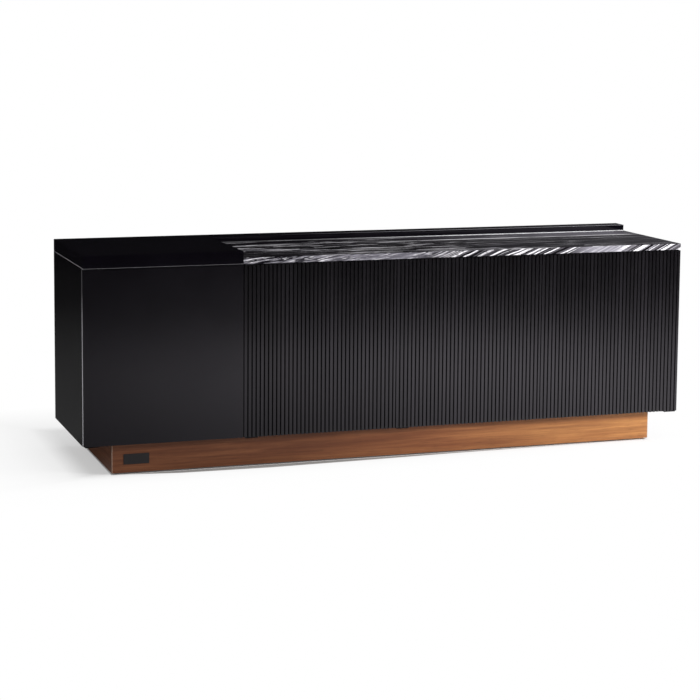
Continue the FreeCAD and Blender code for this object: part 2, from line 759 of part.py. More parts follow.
blocks = []
CORNERS = {
    "left_front": (f"{PLINTH_LEFT} + plinth_board", INNER_FRONT),
    "left_rear": (f"{PLINTH_LEFT} + plinth_board", f"{INNER_BACK} - corner_block"),
    "right_front": (f"{PLINTH_RIGHT} - plinth_board - corner_block", INNER_FRONT),
    "right_rear": (f"{PLINTH_RIGHT} - plinth_board - corner_block", f"{INNER_BACK} - corner_block"),
}
for name, (x, y) in CORNERS.items():
    extent = ("corner_block", "corner_block", "corner_block_height")
    blocks.append(box(f"corner_{name}", (x, y, "glide_height"), extent))
    glide_spots[name] = (f"{x} + corner_block / 2", f"{y} + corner_block / 2")

# A glide is a disc with a nail, turned about its own axis.
GLIDE_PROFILE = [(0, 0), (2, 0), (2, 1), (1, 1), (1, 3), (0, 3)]
for name, (x, y) in glide_spots.items():
    glide, turn = revolved(
        f"glide_{name}",
        GLIDE_PROFILE,
        {
            0: "glide_diameter / 2",
            1: "glide_height",
            3: "glide_nail_length",
            4: "glide_nail_diameter / 2",
        },
    )
    glides.append(place(glide, x, y, "0"))

subpart(cut("plinth_cross_rails", group("rail_set", rails), glides))
subpart(cut("plinth_corner_blocks", group("corner_set", blocks), glides))
subpart(group("glides", glides))

plate, pad = padded("nameplate", RECTANGLE, {0: "plate_length", 1: "plate_height"}, "plate_thickness")
ease(plate, pad, "Fillet", "plate_corner", lambda edge: edge.BoundBox.ZLength > size("plate_thickness") / 2)
plate_z = "glide_height + plate_base_margin"
subpart(place(plate, f"{PLINTH_LEFT} + plate_side_margin", PLINTH_FRONT, plate_z, FORWARD))

# ---- checks and files ----

doc.recompute()
faults = [item.Name for item in doc.Objects if {"Invalid", "Error"} & set(item.State)]
faults += [item.Name for item in subparts if item.Shape.isNull() or not item.Shape.isValid()]
faults += [item.Name for item in subparts if not item.Shape.Solids]
if faults:
    raise RuntimeError("failed objects: " + ", ".join(faults))

os.makedirs("parts", exist_ok=True)
for item in subparts:
    item.Shape.exportStep(os.path.join("parts", item.Label + ".step"))
print(len(subparts), "sub-parts written")
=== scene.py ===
"""Looks for a sideboard buffet: lacquer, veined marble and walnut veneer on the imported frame."""
import json
import math

import bpy
from mathutils import Matrix, Vector


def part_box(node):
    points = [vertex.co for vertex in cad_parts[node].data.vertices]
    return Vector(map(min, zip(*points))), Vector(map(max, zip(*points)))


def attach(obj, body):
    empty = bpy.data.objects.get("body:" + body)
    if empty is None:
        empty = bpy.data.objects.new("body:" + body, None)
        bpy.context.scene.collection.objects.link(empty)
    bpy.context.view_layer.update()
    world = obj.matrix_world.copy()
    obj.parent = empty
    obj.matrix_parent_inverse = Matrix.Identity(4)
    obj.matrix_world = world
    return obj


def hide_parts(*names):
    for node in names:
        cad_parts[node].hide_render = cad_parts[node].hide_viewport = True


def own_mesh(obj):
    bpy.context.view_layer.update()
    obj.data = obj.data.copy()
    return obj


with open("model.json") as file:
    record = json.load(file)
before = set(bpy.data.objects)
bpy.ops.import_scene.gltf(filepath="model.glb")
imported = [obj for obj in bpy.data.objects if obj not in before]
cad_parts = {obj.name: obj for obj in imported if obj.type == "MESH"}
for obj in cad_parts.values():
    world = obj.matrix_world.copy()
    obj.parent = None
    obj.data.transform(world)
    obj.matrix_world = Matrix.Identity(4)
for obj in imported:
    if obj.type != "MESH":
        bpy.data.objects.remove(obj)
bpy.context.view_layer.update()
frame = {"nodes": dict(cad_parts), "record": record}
nodes = frame["nodes"]
scene = bpy.context.scene

MM = 0.001
WHITE = (1, 1, 1, 1)

# ---------------------------------------------------------------- node helpers


def opaque(colour):
    """A colour of three numbers with full alpha. A socket or node stays as it is."""
    return (*colour, 1) if isinstance(colour, tuple) else colour


def times(colour, factor):
    return tuple(channel * factor for channel in colour)


class Graph:
    """The node tree of a material or a world, with short calls for the nodes used here."""

    def __init__(self, owner, output="OutputMaterial"):
        self.owner = owner
        owner.use_nodes = True
        self.tree = owner.node_tree
        self.tree.nodes.clear()
        self.output = self.node(output)

    def node(self, kind, inputs=(), **settings):
        made = self.tree.nodes.new("ShaderNode" + kind)
        for key, value in settings.items():
            setattr(made, key, value)
        for key, value in dict(inputs).items():
            self.feed(made.inputs[key], value)
        return made

    def feed(self, socket, value):
        """Links a socket, or a node's first output, and sets anything else as the default."""
        if isinstance(value, bpy.types.NodeSocket):
            self.tree.links.new(value, socket)
        elif isinstance(value, bpy.types.Node):
            self.tree.links.new(value.outputs[0], socket)
        else:
            socket.default_value = value

    def place(self):
        """The point in the row frame, in metres: it stays with the piece when the piece moves."""
        return self.node("TexCoord").outputs["Object"]

    def split(self, vector):
        made = self.node("SeparateXYZ", {"Vector": vector})
        return made.outputs["X"], made.outputs["Y"], made.outputs["Z"]

    def axes(self):
        """How far along the length, across the depth and up the point is."""
        return self.split(self.place())

    def stretched(self, point, scale, turn=(0, 0, 0)):
        return self.node("Mapping", {"Vector": point, "Scale": scale, "Rotation": turn})

    def noise(self, point, scale=1.0, detail=4.0, rough=0.55):
        inputs = {"Vector": point, "Scale": scale, "Detail": detail, "Roughness": rough}
        return self.node("TexNoise", inputs).outputs["Fac"]

    def maths(self, operation, first, *rest):
        """The operation on first alone, or on first and each of the rest in turn."""
        if not rest:
            return self.node("Math", {0: first}, operation=operation)
        result = first
        for value in rest:
            result = self.node("Math", {0: result, 1: value}, operation=operation)
        return result

    def remap(self, value, low, high, to_low=0.0, to_high=1.0):
        inputs = {"Value": value, "From Min": low, "From Max": high,
                  "To Min": to_low, "To Max": to_high}
        return self.node("MapRange", inputs)

    def ramp(self, value, stops):
        made = self.node("ValToRGB", {"Fac": value})
        elements = made.color_ramp.elements
        elements[0].position = stops[0][0]
        elements[-1].position = stops[-1][0]
        for position, _ in stops[1:-1]:
            elements.new(position)
        for element, (_, colour) in zip(elements, stops):
            element.color = opaque(colour)
        return made

    def profile(self, value, stops):
        """A number that follows (place, level) stops, level beyond the first and the last."""
        first, last = stops[0][0], stops[-1][0]
        grey = [((place - first) / (last - first), (level, level, level))
                for place, level in stops]
        return self.ramp(self.remap(value, first, last), grey).outputs["Color"]

    def mix_number(self, factor, a, b):
        """a where factor is 0 and b where it is 1."""
        made = self.node("Mix", data_type="FLOAT")
        for socket, value in zip(("Factor", "A", "B"), (factor, a, b)):
            self.feed(made.inputs[socket], value)
        return made.outputs["Result"]

    def mix(self, factor, a, b, blend="MIX"):
        """The same for colours."""
        made = self.node("Mix", data_type="RGBA", blend_type=blend)
        for socket, value in zip(("Factor", "A", "B"), (factor, opaque(a), opaque(b))):
            self.feed(made.inputs[socket], value)
        return made.outputs["Result"]

    def bump(self, height, distance, strength):
        inputs = {"Height": height, "Distance": distance, "Strength": strength}
        return self.node("Bump", inputs)

    def show(self, shader):
        """Makes shader the tree's result, and returns the material or world."""
        self.tree.links.new(shader.outputs[0], self.output.inputs["Surface"])
        return self.owner

    def surface(self, colour, roughness, normal, **constants):
        shader = self.node("BsdfPrincipled", {"Base Color": opaque(colour),
                                              "Roughness": roughness, "Normal": normal})
        for key, value in constants.items():
            shader.inputs[key.replace("_", " ")].default_value = value
        return self.show(shader)


def material_graph(name):
    return Graph(bpy.data.materials.new(name))


def inside(g, value, low, high):
    """1 where low < value < high and 0 elsewhere."""
    return g.maths("MULTIPLY", g.maths("GREATER_THAN", value, low),
                   g.maths("LESS_THAN", value, high))


# ---------------------------------------------------------------- lacquer

COOL_TINT = (0.97, 0.92, 1.0, 1.0)
# The tone of the painted highlights on sharp lacquer edges.
PAINTED_GLINT_TONE = (0.44, 0.43, 0.46)
GROOVE_START = 0.8 * MM
GROOVE_ROUGHNESS = 0.85

# The painted highlights on the arrises: how wide they are, and how pale against the end face's
# line.
ARRIS = 1.1 * MM
END_LINE = 2.0 * MM
END_FACE = 0.5 * MM
LEDGE_LINE = 2.0 * MM
FRONT_PALENESS = 0.42
LEDGE_PALENESS = [(-0.3, 0.0), (0.3, 0.40)]
CORNER_DEPTH = 2.3 * MM
CORNER_WIDTH = 3.2 * MM
CORNER_PALENESS = [(0.15, 1.0), (0.30, 1.0), (0.48, 0.75), (0.57, 0.15)]


def lacquer(name, colour, roughness, ripple, glint_mask=None, uneven=0.0, recess=None):
    """Sprayed black lacquer: faint orange peel, cloudiness in its sheen and a few wiping marks.

    ripple is the orange peel's height in millimetres.
    glint_mask, if given, marks the sharp edges that get a painted highlight, from 0 to 1.
    uneven is how many times paler than the rest the odd upright streak is.
    recess, if given, marks what lies too deep to be polished: it's rough there.
    """
    g = material_graph(name)
    point = g.place()
    cloud = g.noise(point, 7.0, 3.0)
    peel = g.noise(point, 420.0, 2.0)
    wipes = g.noise(g.stretched(point, (3.0, 3.0, 30.0), (0.0, 0.5, 0.3)), 3.0, 6.0, 0.7)
    shade = g.mix(g.remap(cloud, 0.35, 0.7), colour, times(colour, 1.35))
    gloss = g.maths("ADD", g.remap(cloud, 0.3, 0.7, roughness * 0.9, roughness * 1.12),
                    g.remap(wipes, 0.58, 0.75, 0.0, 0.03))
    if uneven:
        upright = g.noise(g.stretched(point, (45.0, 45.0, 0.9)), detail=3.0, rough=0.6)
        shade = g.mix(g.remap(upright, 0.48, 0.72), shade, times(colour, uneven))
    if recess:
        gloss = g.mix_number(recess(g), gloss, GROOVE_ROUGHNESS)
    if glint_mask:
        # a painted highlight on the marked sharp edges, where light would glint
        shade = g.mix(glint_mask(g), shade, PAINTED_GLINT_TONE)
    return g.surface(shade, gloss, g.bump(peel, ripple * MM, 0.4), Specular_Tint=COOL_TINT)


def behind_slats(g):
    """The grooves between the slats, and the door's inner side."""
    _, across, _ = g.axes()
    slat_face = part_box("door_2_slats")[0][1]
    return g.maths("GREATER_THAN", across, slat_face + GROOVE_START)


def painted_underside_glints(g):
    """Painted highlights: the lacquered top's lower arris, palest on its end face, and the ledge's
    upper arris, towards the right.
    """
    along, across, height = g.axes()
    low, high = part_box("lacquered_top")
    ledge_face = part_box("marble_slab")[1][1]
    front_line = g.maths("MULTIPLY", inside(g, height, low[2] - MM, low[2] + ARRIS),
                         FRONT_PALENESS)
    end_line = g.maths("MULTIPLY", g.maths("LESS_THAN", along, low[0] + END_FACE),
                       inside(g, height, low[2] - MM, low[2] + END_LINE))
    ledge_line = g.maths("MULTIPLY", inside(g, height, high[2] - ARRIS, high[2] + MM),
                         inside(g, across, ledge_face - MM, ledge_face + LEDGE_LINE),
                         g.profile(along, LEDGE_PALENESS))
    return g.maths("MAXIMUM", front_line, end_line, ledge_line)


def painted_corner_glint(g):
    """A painted highlight on the chamfered upright corner at the front of each carcass side,
    fainter near its top.
    """
    along, across, height = g.axes()
    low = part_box("carcass_side_left")[0]
    front = inside(g, across, low[1] - MM, low[1] + CORNER_DEPTH)
    from_end = g.maths("SUBTRACT", -low[0], g.maths("ABSOLUTE", along))
    outer = g.maths("LESS_THAN", from_end, CORNER_WIDTH)
    return g.maths("MULTIPLY", front, outer, g.profile(height, CORNER_PALENESS))


# ---------------------------------------------------------------- marble

DEEP_GREY = (0.017, 0.015, 0.017)
GREY = (0.085, 0.080, 0.091)
PALE = (0.30, 0.29, 0.32)
SILVER = (0.78, 0.76, 0.80)

# Places along the slab's front edge where one style of stroke gives way to the next.
FINE_TO_SHORT = [(0.10, 0.0), (0.20, 1.0)]
SHORT_TO_BOLD = [(0.66, 0.0), (0.78, 1.0)]
SHORT_LEAN = 2.5
BOLD_LEAN = 2.0


def wander(g, scale, amount, detail=2.0):
    """A smooth push of up to amount metres either way. scale is how fast it varies by axis."""
    swing = g.noise(g.stretched(g.place(), scale), detail=detail, rough=0.5)
    return g.remap(swing, 0.0, 1.0, -amount, amount)


def layers(g, place, scale, detail, low, high):
    """Lines square to place. They start where the noise passes low and are full above high."""
    lines = g.node("TexNoise", {"W": place, "Scale": scale, "Detail": detail, "Roughness": 0.55},
                   noise_dimensions="1D")
    return g.remap(lines.outputs["Fac"], low, high)


def patches(g, scale, low, high, to_low, to_high):
    """Soft blotches, from to_low to to_high."""
    blotches = g.noise(g.stretched(g.place(), scale), detail=3.0)
    return g.remap(blotches, low, high, to_low, to_high)


def streaks(g, place, length, width, shift, low, high, detail=3.0):
    """Broken dashes that follow place, about length by width metres. shift picks another set."""
    along, _, _ = g.axes()
    spot = g.node("CombineXYZ", {"X": g.maths("DIVIDE", along, length),
                                 "Y": g.maths("DIVIDE", place, width), "Z": shift})
    return g.remap(g.noise(spot, detail=detail, rough=0.6), low, high)


def marble_top(g, black):
    """Broken level dashes that flow round each other, and a painted reflection of the ledge beside
    it.
    """
    along, across, _ = g.axes()
    place = g.maths("ADD", across, g.maths("MULTIPLY", along, -0.05),
                    wander(g, (1.1, 3.5, 3.5), 0.060), wander(g, (7.0, 18.0, 18.0), 0.006, 3.0))
    rich = g.maths("MULTIPLY", patches(g, (1.6, 7.0, 7.0), 0.40, 0.58, 0.15, 1.0),
                   g.profile(along, [(-0.5, 0.75), (0.0, 1.0), (0.6, 1.0), (0.85, 0.30)]))
    pale = g.maths("MULTIPLY", streaks(g, place, 0.26, 0.023, 3.7, 0.57, 0.60), rich)
    bright = g.maths("MULTIPLY", streaks(g, place, 0.20, 0.022, 8.2, 0.572, 0.588, 2.0), rich)
    breaks = g.maths("MULTIPLY", streaks(g, place, 0.06, 0.008, 5.5, 0.55, 0.585), 0.8)
    shade = g.mix(streaks(g, place, 0.40, 0.030, 0.0, 0.48, 0.60), black, DEEP_GREY)
    shade = g.mix(pale, shade, PALE)
    shade = g.mix(bright, shade, SILVER)
    shade = g.mix(breaks, shade, black)

    # painted reflection: the ledge's face mirrored in the polished top as a pale band, paler
    # towards the right, closed by a straight silver line for its upper arris's glint
    line = g.maths("ADD", across, wander(g, (5.0, 5.0, 5.0), 0.004))
    fade = g.profile(along, [(-0.05, 0.0), (0.25, 1.0), (0.92, 1.0), (0.98, 0.5)])
    band = g.maths("MULTIPLY", g.profile(line, [(0.068, 0.0), (0.080, 0.85), (0.20, 0.85)]), fade)
    reflection_tone = g.mix(g.profile(along, [(0.10, 0.0), (0.45, 0.35), (0.85, 1.0)]),
                 (0.020, 0.018, 0.022), (0.22, 0.21, 0.24))
    shade = g.mix(band, shade, reflection_tone)
    reflected_glint = g.profile(line, [(0.050, 0.0), (0.055, 0.9), (0.070, 0.9), (0.075, 0.0)])
    reflected_glint = g.maths("MULTIPLY", reflected_glint, fade, patches(g, (6.0, 20.0, 20.0), 0.40, 0.55, 0.45, 1.0))
    return g.mix(reflected_glint, shade, (0.95, 0.93, 0.97))


def marble_edge(g, black):
    """The slab's front edge: fine lines at the left, short strokes, then bold ones at the right."""
    along, _, height = g.axes()
    low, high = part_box("marble_slab")
    level = g.maths("SUBTRACT", height, (low[2] + high[2]) / 2)

    def leaning(amount, *pushes):
        return g.maths("ADD", g.maths("SUBTRACT", along, g.maths("MULTIPLY", level, amount)),
                       *pushes)

    broken = patches(g, (70.0, 70.0, 160.0), 0.32, 0.46, 0.35, 1.0)
    place = leaning(BOLD_LEAN, wander(g, (3.5, 3.5, 1.0), 0.020),
                    wander(g, (24.0, 24.0, 8.0), 0.003))
    bold = g.mix(layers(g, place, 30.0, 2.0, 0.46, 0.60), black, GREY)
    strokes = layers(g, g.maths("ADD", place, 4.4), 90.0, 2.0, 0.56, 0.60)
    bold = g.mix(g.maths("MULTIPLY", strokes, broken), bold, PALE)
    strokes = layers(g, g.maths("ADD", place, 3.1), 31.0, 1.0, 0.545, 0.565)
    bold = g.mix(g.maths("MULTIPLY", strokes, broken), bold, SILVER)

    place = leaning(SHORT_LEAN, wander(g, (5.0, 5.0, 2.0), 0.030),
                    wander(g, (40.0, 40.0, 20.0), 0.004))
    short = g.mix(layers(g, place, 60.0, 2.0, 0.46, 0.56), black, GREY)
    strokes = layers(g, g.maths("ADD", place, 2.2), 50.0, 2.0, 0.54, 0.565)
    short = g.mix(g.maths("MULTIPLY", strokes, broken), short, SILVER)

    place = g.maths("ADD", g.maths("MULTIPLY", along, 0.14), g.maths("MULTIPLY", level, -1.0),
                    wander(g, (9.0, 9.0, 30.0), 0.004))
    fine = g.mix(streaks(g, place, 0.060, 0.0040, 1.5, 0.49, 0.57),
                 (0.006, 0.005, 0.008), (0.23, 0.22, 0.25))
    fine = g.mix(streaks(g, place, 0.045, 0.0034, 6.1, 0.575, 0.605), fine, SILVER)
    haze = g.profile(along, [(-0.34, 0.0), (-0.16, 0.35), (0.04, 0.50), (0.12, 0.1)])
    fine = g.mix(haze, fine, (0.24, 0.23, 0.27))

    shade = g.mix(g.profile(along, FINE_TO_SHORT), fine, short)
    shade = g.mix(g.profile(along, SHORT_TO_BOLD), shade, bold)
    haze = g.profile(along, [(0.60, 0.0), (0.67, 0.70), (0.76, 0.70), (0.82, 0.0)])
    return g.mix(haze, shade, (0.27, 0.26, 0.30))


def marble():
    """Polished black stone with silver layers, which look longer on the top than on the edges."""
    g = material_graph("marble")
    point = g.place()
    grain = g.noise(point, 900.0, 2.0)
    black = g.mix(grain, (0.0036, 0.0032, 0.0042), (0.010, 0.009, 0.011))
    _, _, upward = g.split(g.node("NewGeometry").outputs["Normal"])
    shade = g.mix(g.remap(upward, 0.45, 0.55), marble_edge(g, black), marble_top(g, black))
    gloss = g.remap(g.noise(point, 60.0, 2.0), 0.3, 0.7, 0.045, 0.075)
    return g.surface(shade, gloss, g.bump(grain, 0.02 * MM, 0.15))


# ---------------------------------------------------------------- wood

# Painted highlights on the plinth's upright corners: how wide, how strong and what tone.
PLINTH_GLINT_WIDTH = 2.0 * MM
PLINTH_GLINT_STRENGTH = 0.7
ON_FACE = 0.001 * MM
PLINTH_GLINT_TONE = (0.50, 0.42, 0.35)


def walnut(name, grain):
    """Walnut veneer with level grain along X or Y: figure, bands, dark pores and painted corner
    highlights.

    It goes from dark at the left of the object to pale at the right: painted light for the lamp at
    the right, with a little random tone.
    """
    g = material_graph(name)
    point = g.place()

    def grained(slow, fast):
        """The point, scaled so that a pattern changes slowly along the grain and fast across it."""
        return g.stretched(point, {"X": (slow, fast, fast), "Y": (fast, slow, fast)}[grain])

    board = grained(0.55, 14.0)
    warp = g.noise(board, 1.1, 3.0, 0.5)
    push = g.node("CombineXYZ", {"X": warp, "Y": warp, "Z": warp})
    figure = g.noise(g.node("VectorMath", {0: board, 1: push}, operation="ADD"), 2.4, 8.0, 0.62)
    fibre = g.noise(grained(6.0, 260.0), detail=4.0, rough=0.65)
    pores = g.remap(g.noise(grained(22.0, 900.0), detail=2.0), 0.60, 0.72)
    bands = g.noise(grained(4.0, 120.0), detail=3.0, rough=0.6)
    colour = g.ramp(figure, [(0.25, (0.130, 0.048, 0.020)), (0.45, (0.215, 0.086, 0.032)),
                             (0.60, (0.290, 0.125, 0.045)), (0.80, (0.380, 0.178, 0.064))])
    colour = g.mix(g.remap(fibre, 0.35, 0.7, 0.0, 0.55), colour, (0.140, 0.050, 0.020))
    colour = g.mix(g.remap(bands, 0.42, 0.64, 0.0, 0.50), colour, (0.120, 0.043, 0.017))

    along, _, _ = g.axes()
    # painted light: darker at the left and paler at the right, as the lamp at the right falls off,
    # with a little random tone on top
    painted_falloff_and_tone = g.maths("ADD", along, g.remap(g.noise(point, 2.5), 0.0, 1.0, -0.25, 0.25))
    dark = g.mix(1.0, colour, (0.72, 0.64, 0.76), "MULTIPLY")
    middle = g.mix(1.0, colour, (1.08, 0.96, 1.02), "MULTIPLY")
    light = g.mix(1.0, colour, (2.05, 2.25, 2.05), "MULTIPLY")
    colour = g.mix(g.remap(painted_falloff_and_tone, -0.40, 0.25), dark, middle)
    colour = g.mix(g.remap(painted_falloff_and_tone, 0.25, 0.95), colour, light)
    colour = g.mix(g.maths("MULTIPLY", pores, 0.6), colour, (0.030, 0.013, 0.007))
    # painted highlight on the upright corners
    colour = g.mix(painted_plinth_glints(g), colour, PLINTH_GLINT_TONE)
    gloss = g.remap(fibre, 0.3, 0.7, 0.34, 0.46)
    height = g.maths("SUBTRACT", fibre, pores)
    return g.surface(colour, gloss, g.bump(height, 0.05 * MM, 0.5), Specular_IOR_Level=0.25)


def painted_plinth_glints(g):
    """Painted highlights on the plinth's upright corners, where they meet its front and back faces.
    """
    along, across, _ = g.axes()
    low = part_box("plinth_front")[0]
    at_end = g.maths("GREATER_THAN", g.maths("ABSOLUTE", along), -low[0] - PLINTH_GLINT_WIDTH)
    on_face = g.maths("GREATER_THAN", g.maths("ABSOLUTE", across), -low[1] - ON_FACE)
    return g.maths("MULTIPLY", at_end, on_face, PLINTH_GLINT_STRENGTH)


def sawn_wood(name, pale, deep):
    g = material_graph(name)
    point = g.place()
    rings = g.noise(g.stretched(point, (4.0, 4.0, 40.0)), 6.0, 6.0, 0.6)
    saw = g.noise(g.stretched(point, (300.0, 300.0, 20.0)), detail=3.0)
    shade = g.mix(g.remap(rings, 0.3, 0.7), pale, deep)
    return g.surface(shade, g.remap(saw, 0.3, 0.7, 0.6, 0.8), g.bump(saw, 0.15 * MM, 0.6))


# ---------------------------------------------------------------- boards, metal and plastic


def laminate(name, colour, roughness):
    """Matt board facing with a fine pressed linen-like grain."""
    g = material_graph(name)
    point = g.place()
    speck = g.noise(point, 650.0, 3.0)
    cloud = g.noise(point, 5.0, 2.0)
    shade = g.mix(speck, times(colour, 0.75), times(colour, 1.30))
    shade = g.mix(g.remap(cloud, 0.3, 0.7, 0.0, 0.25), shade, times(colour, 1.6))
    gloss = g.remap(cloud, 0.3, 0.7, roughness * 0.9, roughness * 1.1)
    return g.surface(shade, gloss, g.bump(speck, 0.05 * MM, 0.5), Specular_IOR_Level=0.35)


def metal(name, colour, roughness):
    """Brushed or coated steel with faint stains."""
    g = material_graph(name)
    point = g.place()
    strokes = g.noise(g.stretched(point, (260.0, 12.0, 260.0)), 3.0)
    stain = g.noise(point, 90.0, 3.0)
    shade = g.mix(g.remap(stain, 0.3, 0.7), times(colour, 0.82), colour)
    gloss = g.remap(strokes, 0.3, 0.7, roughness * 0.8, roughness * 1.25)
    return g.surface(shade, gloss, g.bump(strokes, 0.01 * MM, 0.4), Metallic=1.0)


def plastic(name, colour, roughness):
    """Moulded plastic with a fine texture."""
    g = material_graph(name)
    point = g.place()
    texture = g.noise(point, 1500.0, 2.0)
    cloud = g.noise(point, 40.0, 2.0)
    shade = g.mix(cloud, times(colour, 0.88), times(colour, 1.10))
    gloss = g.remap(texture, 0.3, 0.7, roughness * 0.9, roughness * 1.1)
    return g.surface(shade, gloss, g.bump(texture, 0.02 * MM, 0.5))


def sealant():
    """Sealant with a painted highlight along it: dark near the block and paler towards the right,
    where the light falls.
    """
    g = material_graph("sealant")
    along, _, _ = g.axes()
    smear = g.noise(g.place(), 60.0, 3.0)
    # painted highlight: near black at the left, paler towards the right where the light falls
    bead_glint = g.profile(along, [(-0.5, 0.04), (-0.15, 0.11), (0.15, 0.38), (0.40, 0.66)])
    bead_glint = g.maths("MULTIPLY", bead_glint, g.remap(smear, 0.3, 0.7, 0.75, 1.1))
    shade = g.mix(bead_glint, (0.02, 0.02, 0.022), (0.95, 0.94, 0.97))
    gloss = g.remap(smear, 0.3, 0.7, 0.25, 0.4)
    return g.surface(shade, gloss, g.bump(smear, 0.05 * MM, 0.3))


# ---------------------------------------------------------------- which piece has which finish

FINISHES = {
    "gloss_lacquer": lacquer("gloss_lacquer", (0.0020, 0.0016, 0.0028), 0.10, 0.01,
                             painted_underside_glints),
    "satin_lacquer": lacquer("satin_lacquer", (0.0024, 0.0020, 0.0030), 0.18, 0.02),
    "slat_lacquer": lacquer("slat_lacquer", (0.0038, 0.0034, 0.0041), 0.16, 0.02,
                            uneven=2.6, recess=behind_slats),
    "marble": marble(),
    "walnut_veneer": walnut("walnut_veneer", "X"),
    "plain_wood": sawn_wood("plain_wood", (0.50, 0.36, 0.21), (0.36, 0.24, 0.13)),
    "dowel_wood": sawn_wood("dowel_wood", (0.62, 0.46, 0.28), (0.50, 0.35, 0.20)),
    "bare_plate": plastic("bare_plate", (0.0185, 0.0155, 0.0165), 0.42),
    "nylon": plastic("nylon", (0.62, 0.61, 0.57), 0.45),
    "bumper_rubber": plastic("bumper_rubber", (0.05, 0.05, 0.05), 0.6),
    "back_board": laminate("back_board", (0.020, 0.020, 0.021), 0.6),
    "latch_plastic": plastic("latch_plastic", (0.035, 0.035, 0.038), 0.45),
    "plunger_plastic": plastic("plunger_plastic", (0.30, 0.30, 0.31), 0.35),
    "spring_steel": metal("spring_steel", (0.55, 0.55, 0.56), 0.25),
    "black_steel": metal("black_steel", (0.022, 0.021, 0.023), 0.40),
    "nickel_steel": metal("nickel_steel", (0.66, 0.64, 0.60), 0.28),
    "zinc_screws": metal("zinc_screws", (0.60, 0.60, 0.58), 0.32),
    "interior_laminate": laminate("interior_laminate", (0.026, 0.024, 0.023), 0.5),
}
SIDE_GRAIN = walnut("walnut_side", "Y")
SIDE_LACQUER = lacquer("side_lacquer", (0.0024, 0.0020, 0.0030), 0.20, 0.005, painted_corner_glint)
SEALANT = sealant()
BY_NODE = {
    "plinth_left": SIDE_GRAIN,
    "plinth_right": SIDE_GRAIN,
    "carcass_side_left": SIDE_LACQUER,
    "carcass_side_right": SIDE_LACQUER,
}

slot_of = {entry["node"]: entry["material_slot"] for entry in frame["record"]["subparts"]}
for name, piece in nodes.items():
    finish = BY_NODE.get(name) or FINISHES[slot_of[name]]
    piece.data.materials.clear()
    piece.data.materials.append(finish)

# ---------------------------------------------------------------- eased edges

# Bevel widths in millimetres, and the nodes that have them.
EDGES = {
    1.2: ("door_1_panel", "carcass_side_left", "carcass_side_right"),
    0.7: ("plinth_front", "plinth_back", "plinth_left", "plinth_right"),
    0.6: ("shelf_1", "shelf_2", "shelf_3", "shelf_4"),
    0.5: ("door_2_slats", "door_3_slats", "door_4_slats"),
    0.3: ("nameplate",),
}
SAME_POINT = 0.02 * MM
SHARP_ANGLE = math.radians(40)


def ease_edges(piece, width):
    """Joins the CAD mesh's faces at their shared points, and bevels its sharp edges."""
    weld = piece.modifiers.new("weld", "WELD")
    weld.merge_threshold = SAME_POINT
    bevel = piece.modifiers.new("eased", "BEVEL")
    bevel.width = width * MM
    bevel.segments = 2
    bevel.limit_method = "ANGLE"
    bevel.angle_limit = SHARP_ANGLE
    bevel.harden_normals = True


for width, names in EDGES.items():
    for name in names:
        ease_edges(nodes[name], width)

# ---------------------------------------------------------------- sealant round the marble

BEAD = 1.4 * MM
BEAD_STEPS = 6
MARBLE_CLEARANCE = 0.5 * MM


def sealant_bead():
    """A hollow fillet of sealant along the marble's two inner edges, mitred at the corner."""
    slab_low, slab_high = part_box("marble_slab")
    level = slab_high[2]
    block_face = slab_low[0] - MARBLE_CLEARANCE
    ledge_face = slab_high[1] + MARBLE_CLEARANCE
    # each end or corner of the bead, and which ways it reaches out from there over the marble
    corners = [(block_face, slab_low[1], 1, 0), (block_face, ledge_face, 1, -1),
               (slab_high[0], ledge_face, 0, -1)]
    section = [(0.0, 0.0)]
    for step in range(BEAD_STEPS + 1):
        angle = math.pi / 2 * step / BEAD_STEPS
        section.append((BEAD * (1 - math.sin(angle)), BEAD * (1 - math.cos(angle))))
    points = [(x + toward_x * out, y + toward_y * out, level + rise)
              for x, y, toward_x, toward_y in corners for out, rise in section]
    count = len(section)
    faces = []
    for run in range(len(corners) - 1):
        for n in range(count):
            a, b = run * count + n, run * count + (n + 1) % count
            faces.append((a, b, b + count, a + count))
    faces.append(tuple(range(count)))
    faces.append(tuple(range(len(points) - 1, len(points) - count - 1, -1)))
    mesh = bpy.data.meshes.new("marble_sealant")
    mesh.from_pydata(points, [], faces)
    mesh.materials.append(SEALANT)
    bead = bpy.data.objects.new("marble_sealant", mesh)
    scene.collection.objects.link(bead)
    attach(bead, "root")


sealant_bead()

# ---------------------------------------------------------------- return springs

LATCHES = (1, 2, 3, 4)


def return_spring(latch):
    """The latch's spring again, as a copy with its own mesh on the root, in place of the hidden CAD
    piece.
    """
    node = nodes[f"latch_spring_{latch}"]
    coil = bpy.data.objects.new(f"return_spring_{latch}", node.data.copy())
    scene.collection.objects.link(coil)
    coil.matrix_world = node.matrix_world.copy()
    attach(coil, "root")
    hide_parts(node.name)
    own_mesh(coil)


for latch in LATCHES:
    return_spring(latch)

# ---------------------------------------------------------------- floor

FLOOR_HALF = 60.0
PAPER = (0.82, 0.82, 0.82)
# darker paper in front of the plinth: a painted contact shadow
CONTACT_SHADOW_TONE = (0.29, 0.28, 0.27)

# How bright reflections see the floor: along the length, and from far in front to the middle.
ALONG_LEVELS = [(-1.0, 0.15), (-0.7, 0.21), (-0.35, 0.33), (0.0, 0.45), (0.4, 0.65), (0.8, 0.82),
                (1.1, 0.92), (1.4, 0.83), (1.8, 0.64), (2.3, 0.54), (3.0, 0.42)]
FRONT_LEVELS = [(-5.0, 0.05), (-3.6, 0.08), (-3.0, 0.22), (-2.6, 0.56), (-2.2, 0.96), (-1.8, 1.0),
                (-1.3, 0.93), (-0.8, 0.77), (-0.3, 0.74), (0.1, 0.0)]
BEHIND_LEVELS = [(0.0, 0.0), (0.4, 0.075), (1.8, 0.055), (3.5, 0.012)]
FLOOR_PEAK = 2.1

